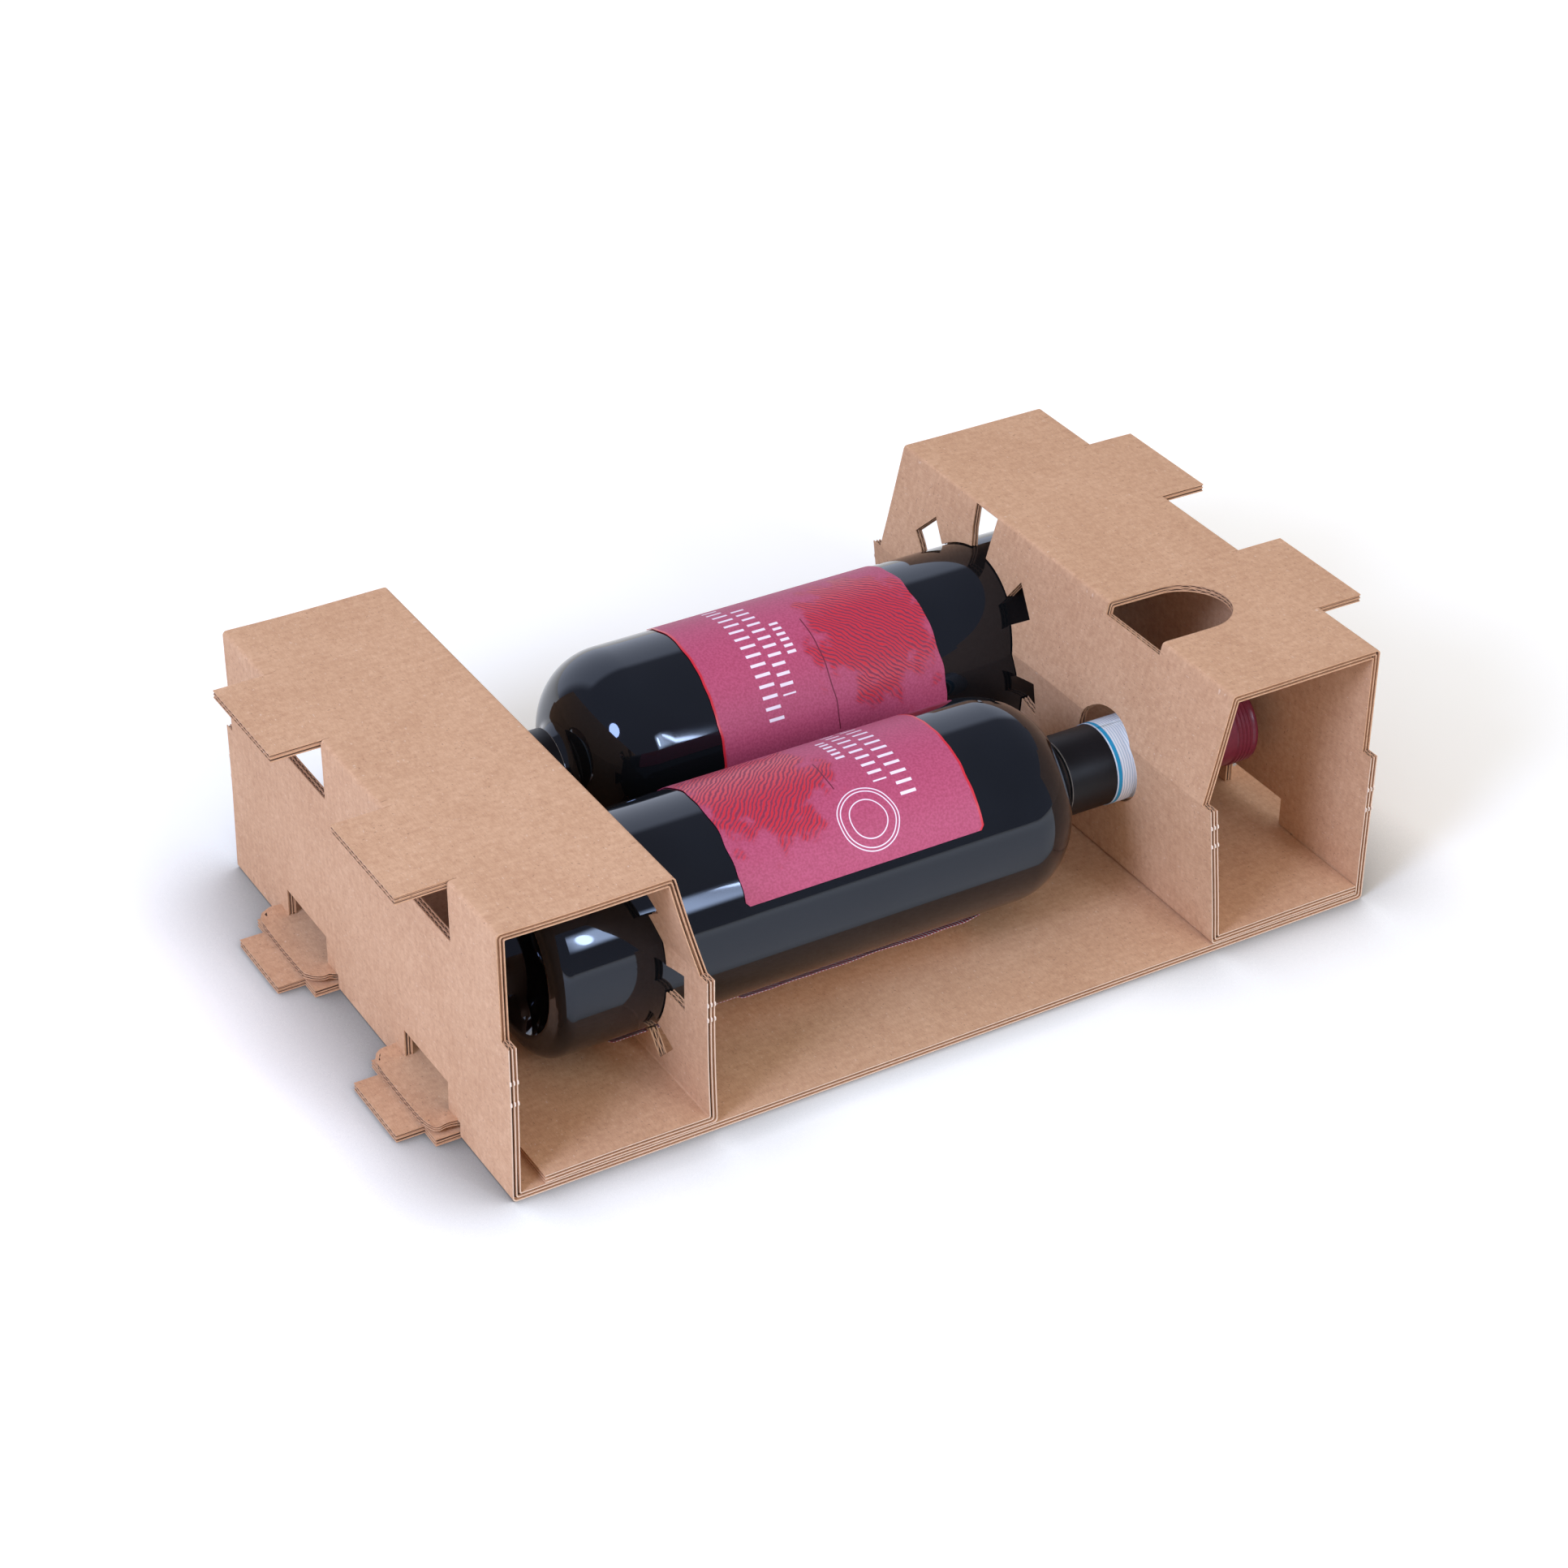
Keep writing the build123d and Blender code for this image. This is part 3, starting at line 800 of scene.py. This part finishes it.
# %% Rolled papers
def rolled_paper(name, start, length, width, radius, top_angle, base, along, wavy=0.0, lift=0.0):
    """Paper rolled round a bottle: its length is along the axis and its width round it."""
    sheet = grid_sheet(name, even_stops(0, length, 2.0), even_stops(0, width, 1.6))
    finish_with(sheet, "SOLIDIFY", thickness=0.2 * mm, offset=1.0)
    flat_place = sheet.data.attributes.new("flat", "FLOAT_VECTOR", "POINT")
    for vertex in sheet.data.vertices:
        x, y, depth = vertex.co / mm
        flat_place.data[vertex.index].vector = (x, y, depth)
        # The edges waver, as cut paper's do, and the corners are a little round
        corner = max(0.0, 1.5 - min(y, width - y)) ** 2 * 0.6 if wavy else 0.0
        left = corner + wavy * (0.5 + 0.9 * noise.noise((y * 0.13, start, 0.3)))
        right = corner + wavy * (0.5 + 0.9 * noise.noise((y * 0.13, start, 7.7)))
        x = max(0.0, left) + x * (length - max(0.0, left) - max(0.0, right)) / length
        angle = radians(top_angle) - y / radius
        out = radius + depth
        # The upper edge has come off the glass, but for a short stretch
        if lift and y < 4 and not 30 < x < 52:
            ruffle = 0.6 + 0.5 * noise.noise((x * 0.06, start, 2.0))
            out += lift * (1 - y / 4) ** 2 * max(0.1, ruffle) * min(1.0, (length - x) / 8)
        place = Vector((along * (start + x), -out * cos(angle), out * sin(angle)))
        vertex.co = (Vector(base) + place) * mm
    close_and_smooth(sheet, 0.02)
    return sheet


label_radius, band_radius = 38.2, 15.32
label_width, rear_width = label_radius * radians(132), label_radius * radians(75)
main_labels, rear_labels, bands = [], [], []
# A paper's start on the bottle, length, width, radius and top angle, its bottle, and how much
# its edges waver and lift
for name, base, along, angle in (("near", near_base, 1, 156), ("far", far_base, -1, 126)):
    main_cut = 71.8, 96.0, label_width, label_radius, angle, base, along, 0.9
    rear_cut = 26.0, 152.0, rear_width, label_radius, angle - 212, base, along, 0.5, 1.8
    band_cut = 238.71, 18.0, 2 * pi * band_radius, band_radius, 90, base, along
    main_labels.append(rolled_paper(f"{name}_paper_label", *main_cut))
    rear_labels.append(rolled_paper(f"{name}_paper_rear_label", *rear_cut))
    bands.append(rolled_paper(f"{name}_paper_band", *band_cut))
    for piece, node, slot in (
        (main_labels[-1], f"{name}_main_label", "label_paper"),
        (rear_labels[-1], f"{name}_rear_label", "label_paper"),
        (bands[-1], f"{name}_neck_band", "band_paper"),
    ):
        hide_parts(node)
        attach(piece, "root")

# %% [markdown]
# ## Printed papers
# The main label is coated paper printed all over in a dark rose, with a field of red foil and a
# thin red foil edge towards the neck. The real print isn't copied: a plain oval of foil strokes,
# rows of plain white bars and plain rings stand in its place. Each is a distance or a band
# in the label's own millimetres, so that its edges stay sharp at any size. The rear label and
# the neck band are white paper.


# %% Bands of print
def band_of(tree, value, low, high, soft, field=1.0):
    """This field where the value is between low and high, with soft ends. None is no end."""
    if low is not None:
        rise = {"Value": value, "From Min": low - soft, "From Max": low + soft, "To Max": field}
        field = add(tree, "MapRange", rise, interpolation_type="SMOOTHSTEP")
    if high is not None:
        fall = {"Value": value, "From Min": high - soft, "From Max": high + soft}
        fall.update({"To Min": field, "To Max": 0.0})
        field = add(tree, "MapRange", fall, interpolation_type="SMOOTHSTEP")
    return field


# %% Main labels
# Rows of plain white bars 1 mm wide: where a row lies, its height, its ends, and the bars' pitch
bar_rows = (
    (72.5, 6.2, (6, 69), 2.1),
    (64.5, 5.4, (15, 60), 2.0),
    (57.5, 3.6, (30, 46), 1.4),
)
# The papers differ only in what shows: the near one has the rings, the far one a longer line
for piece, ring_radii, line_ends in (
    (main_labels[0], (11.4, 10.2, 7.0), (44, 58)),
    (main_labels[1], (), (32, 78)),
):
    label_paper, tree, shader = new_material(f"coated_paper_with_foil_on_{piece.name}")
    flat = add(tree, "Attribute", attribute_name="flat").outputs["Vector"]
    lengthwise, crosswise, _ = add(tree, "SeparateXYZ", {0: flat}).outputs
    fine = add(tree, "TexNoise", {"Vector": flat, "Scale": 1.2, "Detail": 4.0})
    cloud = add(tree, "TexNoise", {"Vector": flat, "Scale": 0.11, "Detail": 3.0})
    ground = add(tree, "ValToRGB", {"Fac": fine}, ((0.35, "A83D5A"), (0.65, "BA4C6B")))
    # Foil: strokes about 1 mm apart in an oval of 48 by 56 mm, its outline broken by the cloud
    spread = {"Vector": flat, "Location": (-0.8, -1.3, 0), "Scale": (0.036, 0.031, 0)}
    spread = add(tree, "VectorMath", {0: add(tree, "Mapping", spread)}, operation="LENGTH")
    spread = add(tree, "Math", {0: cloud, 1: -1.5, 2: spread}, operation="MULTIPLY_ADD")
    strokes = {"Vector": flat, "Scale": 0.3, "Distortion": 9.0, "Detail": 3.0}
    strokes["Detail Scale"] = 0.45
    strokes = add(tree, "TexWave", strokes, bands_direction="DIAGONAL").outputs["Fac"]
    oval = band_of(tree, spread, None, 0.12, 0.12)
    wash = band_of(tree, spread, None, 0.1, 0.25, 0.6)
    dark = band_of(tree, strokes, None, 0.32, 0.2, oval)
    dark = add(tree, "Math", {0: dark, 1: 0.8}, operation="MULTIPLY")
    foil = band_of(tree, strokes, 0.62, None, 0.25, oval)
    edge = band_of(tree, lengthwise, 95.1, None, 0.25)
    foil = add(tree, "Math", {0: foil, 1: edge}, operation="MAXIMUM")
    # A fine dark line, 0.5 mm wide
    line = band_of(tree, lengthwise, 46.6, 47.1, 0.12)
    line = band_of(tree, crosswise, *line_ends, 0.1, line)
    white = 0.0
    for row, tall, ends, pitch in bar_rows:
        bars = add(tree, "Math", {0: crosswise, 1: pitch}, operation="PINGPONG")
        bars = band_of(tree, bars, None, 0.6, 0.12)
        bars = band_of(tree, lengthwise, row - tall / 2, row + tall / 2, 0.12, bars)
        bars = band_of(tree, crosswise, *ends, 0.1, bars)
        white = add(tree, "Math", {0: white, 1: bars}, operation="MAXIMUM")
    if ring_radii:
        # Plain rings with lines 0.4 mm wide
        spot = {"Vector": flat, "Location": (-54.0, -72.0, 0), "Scale": (1, 1, 0)}
        spot = add(tree, "VectorMath", {0: add(tree, "Mapping", spot)}, operation="LENGTH")
        for radius in ring_radii:
            ring = band_of(tree, spot, radius - 0.2, radius + 0.2, 0.12)
            white = add(tree, "Math", {0: white, 1: ring}, operation="MAXIMUM")
    for field, ink in (
        (wash, "A8283F"),
        (dark, "7A1C36"),
        (foil, "C92431"),
        (line, "6E1830"),
        (white, "EFDCE2"),
    ):
        inks = {"Factor": field, 6: ground, 7: hex_colour(ink)}
        ground = add(tree, "Mix", inks, data_type="RGBA")
    gloss = add(tree, "MapRange", {"Value": foil, "To Min": 0.55, "To Max": 0.28})
    grain = add(tree, "Math", {0: foil, 1: 0.5, 2: fine}, operation="MULTIPLY_ADD")
    bump = add(tree, "Bump", {"Height": grain, "Strength": 0.35, "Distance": 0.0001})
    feed(shader, {"Base Color": ground, "Roughness": gloss, "Normal": bump})
    paint(piece, label_paper)

# %% Rear labels: white paper, its upper edge printed with fine red strokes
rear_paper, tree, shader = new_material("white_coated_paper_red_edge")
flat = add(tree, "Attribute", attribute_name="flat").outputs["Vector"]
crosswise = add(tree, "SeparateXYZ", {0: flat}).outputs[1]
stripes = add(tree, "TexWave", {"Vector": flat, "Scale": 0.45}, bands_direction="DIAGONAL")
stripes = band_of(tree, stripes.outputs["Fac"], 0.3, None, 0.2)
ground = add(tree, "ValToRGB", {"Fac": stripes}, ((0.0, "E0D8D4"), (1.0, "DCD2CE")))
red = band_of(tree, crosswise, None, 3.0, 0.1, stripes)
inks = {"Factor": red, 6: ground, 7: hex_colour("B2404F")}
feed(shader, {"Base Color": add(tree, "Mix", inks, data_type="RGBA"), "Roughness": 0.55})
for piece in rear_labels:
    paint(piece, rear_paper)

# %% Neck bands: white paper with a blue line 1.6 mm wide near the edge on the shoulder side
band_paper, tree, shader = new_material("white_banderole_paper")
flat = add(tree, "Attribute", attribute_name="flat").outputs["Vector"]
lengthwise = add(tree, "SeparateXYZ", {0: flat}).outputs[0]
# A fine net of pale blue lines about 1 mm apart, as on a paper seal
net = add(tree, "TexWave", {"Vector": flat, "Scale": 0.3, "Distortion": 6.0, "Detail Scale": 0.4})
net_inks = ((0.2, "BFC8D0"), (0.7, "E8E8E8"))
ground = add(tree, "ValToRGB", {"Fac": net.outputs["Fac"]}, net_inks)
line = band_of(tree, lengthwise, 0.5, 2.1, 0.12)
inks = {"Factor": line, 6: ground, 7: hex_colour("1590B8")}
feed(shader, {"Base Color": add(tree, "Mix", inks, data_type="RGBA"), "Roughness": 0.5})
for piece in bands:
    paint(piece, band_paper)

# %% [markdown]
# ## Floor, light and camera
# The floor is pale and plain: a warm white to the camera, and a little darker to every other
# ray, with a soft painted shadow where a thing stands on it. The light is a plain studio's, a
# little cool: a sky that is warm in front and cool behind, a softbox on the left, a smaller one
# in front, and a wide lamp behind. Glass shows what stands round it, so the sky that mirrors
# see is dim in front, where the camera stands, and bright behind, and small lamps stand for
# the bright cores of the softboxes.

# %% Floor
pick(None)
bpy.ops.mesh.primitive_plane_add(size=8.0)
floor = bpy.context.object
floor.name = "studio_floor"
floor_paint, tree, shader = new_material("white_painted_floor")
path = add(tree, "LightPath").outputs
seen = 0.0
for rays in ("Is Camera Ray", "Is Glossy Ray", "Is Transmission Ray"):
    seen = add(tree, "Math", {0: seen, 1: path[rays]}, operation="MAXIMUM")
# A painted contact shadow darkens the floor's colour within 52 mm of a thing that stands on it.
# The white is warm, so that in the cool light its shadows are grey
contact = add(tree, "AmbientOcclusion", {"Distance": 0.052}, samples=8).outputs["AO"]
painted_contact_shadow = add(tree, "Math", {0: contact, 1: 2.0}, operation="POWER")
warm = {0: painted_contact_shadow, 1: (1.0, 0.94, 0.83)}
warm = add(tree, "VectorMath", warm, operation="MULTIPLY")
pale = {"Factor": seen, 6: (0.75, 0.75, 0.75, 1), 7: warm}
pale = add(tree, "Mix", pale, data_type="RGBA")
feed(shader, {"Base Color": pale, "Roughness": 0.9, "Specular IOR Level": 0.0})
# The shadows that show are in front. Further out and behind, the floor glows a little more
place = add(tree, "TexCoord").outputs["Object"]
away = add(tree, "VectorMath", {0: place, 1: (0, -0.15, 0)}, operation="DISTANCE")
reach = {"Value": away, "From Min": 0.26, "From Max": 0.6, "To Min": 0.07, "To Max": 0.26}
strength = {0: seen, 1: add(tree, "MapRange", reach)}
strength = add(tree, "Math", strength, operation="MULTIPLY")
glow = add(tree, "Emission", {"Color": (1, 1, 1, 1), "Strength": strength})
both = add(tree, "AddShader", {0: shader, 1: glow})
feed(tree.nodes["Material Output"], {"Surface": both})
paint(floor, floor_paint)

# %% Sky
world = bpy.data.worlds.new("studio")
bpy.context.scene.world = world
world.use_nodes = True
tree = world.node_tree
path = add(tree, "LightPath").outputs
direction = add(tree, "TexCoord").outputs["Generated"]
side_of_room, depth_of_room, _ = add(tree, "SeparateXYZ", {0: direction}).outputs
# What lights the object: more from the front, cooler from behind
lighting = add(tree, "MapRange", {"Value": depth_of_room, "From Min": -1.0, "From Max": 1.0})
lighting = {"Factor": lighting, 6: (1.09, 1.08, 1.04, 1), 7: (0.36, 0.41, 0.58, 1)}
lighting = add(tree, "Mix", lighting, data_type="RGBA")
# What glass mirrors: dim in front, above and far to the left, bright and cool behind
behind = band_of(tree, depth_of_room, 0.54, None, 0.06)
behind = band_of(tree, side_of_room, -0.48, None, 0.1, behind)
mirrored = {"Factor": behind, 6: (0.26, 0.27, 0.35, 1), 7: (1.06, 1.15, 1.38, 1)}
mirrored = add(tree, "Mix", mirrored, data_type="RGBA")
in_glass = {0: path["Is Glossy Ray"], 1: path["Is Transmission Ray"]}
in_glass = add(tree, "Math", in_glass, operation="MAXIMUM")
shown = {"Factor": in_glass, 6: lighting, 7: mirrored}
shown = add(tree, "Mix", shown, data_type="RGBA")
# What the camera sees is plain white
shown = {"Factor": path["Is Camera Ray"], 6: shown, 7: (1, 1, 1, 1)}
shown = add(tree, "Mix", shown, data_type="RGBA")
feed(tree.nodes["Background"], {"Color": shown, "Strength": 1.0})


# %% Lamps
NEUTRAL, COOL = (0.66, 0.79, 1.0), (0.48, 0.62, 1.0)


def soft_lamp(name, place, wide, high, power, colour=NEUTRAL):
    """Soft lamp that looks at the middle of the box, its size in metres and power in watts."""
    pick(None)
    bpy.ops.object.light_add(type="AREA", location=place)
    lamp = bpy.context.object
    lamp.name = name
    lamp.data.shape = "RECTANGLE"
    lamp.data.size, lamp.data.size_y = wide, high
    lamp.data.energy = power
    lamp.data.color = colour
    aim = Vector((0, 0, 0.05)) - Vector(place)
    lamp.rotation_euler = aim.to_track_quat("-Z", "Y").to_euler()
    return lamp


# The sky that glass mirrors stands for the two wide lamps, so they themselves aren't mirrored
for lamp in (
    soft_lamp("softbox_left", (-1.30, -0.50, 0.72), 0.60, 0.60, 7.5, COOL),
    soft_lamp("wide_lamp_behind", (-0.50, 1.10, 1.60), 1.0, 0.8, 1.5, COOL),
):
    lamp.visible_glossy = False
front = soft_lamp("softbox_in_front", (0.50, -1.50, 0.88), 0.50, 0.60, 4.6)
# The bright cores, and a tube beside one, are what shines as small white spots on the glass
for name, place, wide, high, power, colour in (
    ("core_of_the_front_softbox", (0.40, -1.45, 0.85), 0.09, 0.30, 1.8, NEUTRAL),
    ("tube_beside_the_front_softbox", (0.592, -1.278, 0.75), 0.022, 0.40, 0.75, NEUTRAL),
    ("core_of_the_left_softbox", (-1.173, -0.51, 1.01), 0.42, 0.42, 12.0, COOL),
):
    soft_lamp(name, place, wide, high, power, colour).data.shape = "ELLIPSE"

# %% The front softbox fades towards its rim, as cloth lit from behind does
front.data.use_nodes = True
tree = front.data.node_tree
spot = add(tree, "NewGeometry").outputs["Parametric"]
spot = add(tree, "VectorMath", {0: spot, 1: (0.5, 0.5, 0.0)}, operation="SUBTRACT")
spot = add(tree, "SeparateXYZ", {0: spot})
fade = 2.2
for side in (0, 1):
    out = add(tree, "Math", {0: spot.outputs[side]}, operation="ABSOLUTE")
    fade = band_of(tree, out, None, 0.35, 0.15, fade)
feed(tree.nodes["Emission"], {"Strength": fade})

# %% Camera
frame_pixels, focal_pixels, sensor = 1932, 4471.15, 36.0
camera_data = bpy.data.cameras.new("camera")
camera = bpy.data.objects.new("camera", camera_data)
bpy.context.scene.collection.objects.link(camera)
camera_data.sensor_width = sensor
camera_data.lens = focal_pixels / frame_pixels * sensor
right = Vector((0.86032283, -0.50965684, 0.00972275))
up = Vector((0.27104851, 0.47352888, 0.83803526))
back = Vector((-0.43171441, -0.71834553, 0.54552943))
turn = Matrix((right, up, back)).transposed()
camera_place = Vector((-573.66, -944.07, 762.36)) * mm
camera.matrix_world = Matrix.Translation(camera_place) @ turn.to_4x4()
camera_data.clip_end = 30.0
bpy.context.scene.camera = camera
bpy.context.scene.view_settings.view_transform = "Standard"
